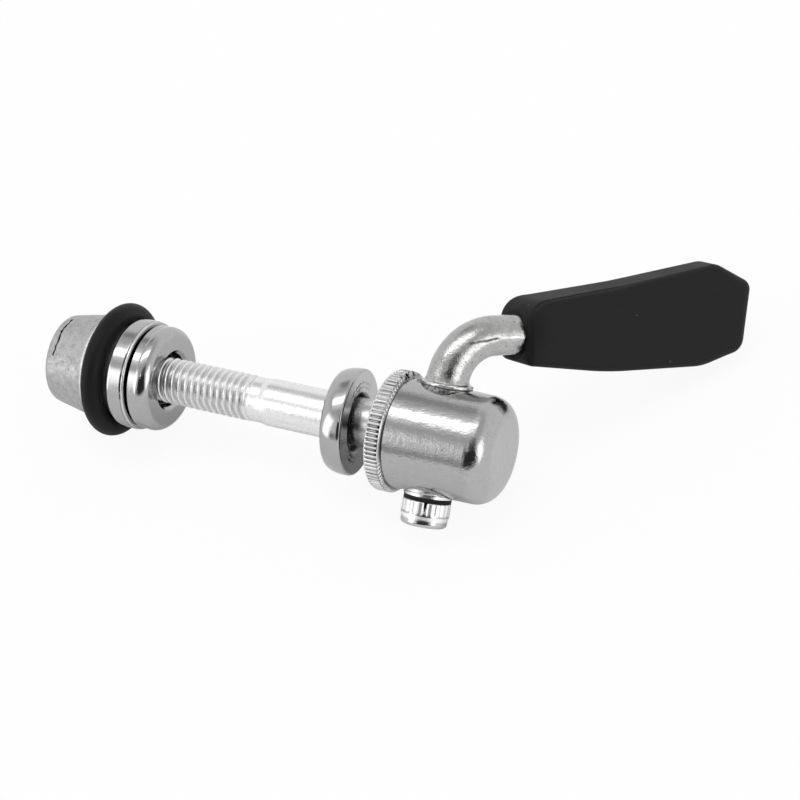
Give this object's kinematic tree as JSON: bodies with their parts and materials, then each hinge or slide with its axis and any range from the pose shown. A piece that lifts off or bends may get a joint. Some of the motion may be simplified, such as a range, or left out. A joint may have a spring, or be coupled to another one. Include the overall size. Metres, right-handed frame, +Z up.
{
  "type": "seatpost quick release bolt",
  "caption": "Quick release clamp bolt: a cone nut with a rubber ring on a threaded rod, loose washers, and an enclosed cam housing with a bent lever and paddle grip.",
  "frame": {"origin": "centre of the bounding box, at the height of the table that the loose part lies on", "axes": "+Z up from the table as the loose part comes to rest, +X along the rod towards the closed end of the cam housing, dipping one degree"},
  "size_m": [0.1086, 0.0638, 0.0259],
  "materials": {
    "bright_chrome": "bright plating over turned steel",
    "satin_plate": "satin mottled plating on a turned cone",
    "forged_plate": "dull plating over a forged bar, with fine pits",
    "rolled_plate": "plated rod with a rolled thread",
    "black_rubber": "soft matt black",
    "black_moulding": "fine matt moulded texture"
  },
  "bodies": {
    "bolt": {"bolt_rod": "rolled_plate"},
    "nut_side_washer": {"nut_washer": "bright_chrome"},
    "adjusting_nut": {"cone_nut": "satin_plate", "nut_o_ring": "black_rubber"},
    "housing_side_washer": {"housing_washer": "bright_chrome"},
    "housing": {"cam_housing": "bright_chrome", "knurled_ring": "bright_chrome"},
    "lever": {"cam_lever": "forged_plate", "lever_grip": "black_moulding", "steel_washer": "bright_chrome", "friction_washer": "black_moulding", "retaining_nut": "bright_chrome"}
  },
  "joints": [
    {"name": "nut_travel", "type": "slide", "parent": "bolt", "child": "nut_side_washer", "axis": [0.9998, 0, 0.0175], "range_m": [-0.0101, 0.0151]},
    {"name": "nut_turn", "type": "hinge", "parent": "nut_side_washer", "child": "adjusting_nut", "pos_m": [-0.03716, -0.01934, 0.0117], "axis": [0.9998, 0, 0.0175], "range_deg": [-2880, 4320]},
    {"name": "washer_slide", "type": "slide", "parent": "bolt", "child": "housing_side_washer", "axis": [0.9998, 0, 0.0175], "range_m": [-0.015, 0.004]},
    {"name": "cam_pull", "type": "slide", "parent": "bolt", "child": "housing", "axis": [0.9998, 0, 0.0175], "range_m": [-0.00051, 0.00169]},
    {"name": "lever_turn", "type": "hinge", "parent": "housing", "child": "lever", "pos_m": [0.01709, -0.01934, 0.01265], "axis": [-0.0124, 0.7031, 0.711], "range_deg": [-138, 42]}
  ],
  "couplings": [
    {"joint": "nut_travel", "follows": "nut_turn", "m_per_rad": 0.00019894},
    {"joint": "lever_turn", "follows": "cam_pull", "rad_per_m": -1428}
  ]
}
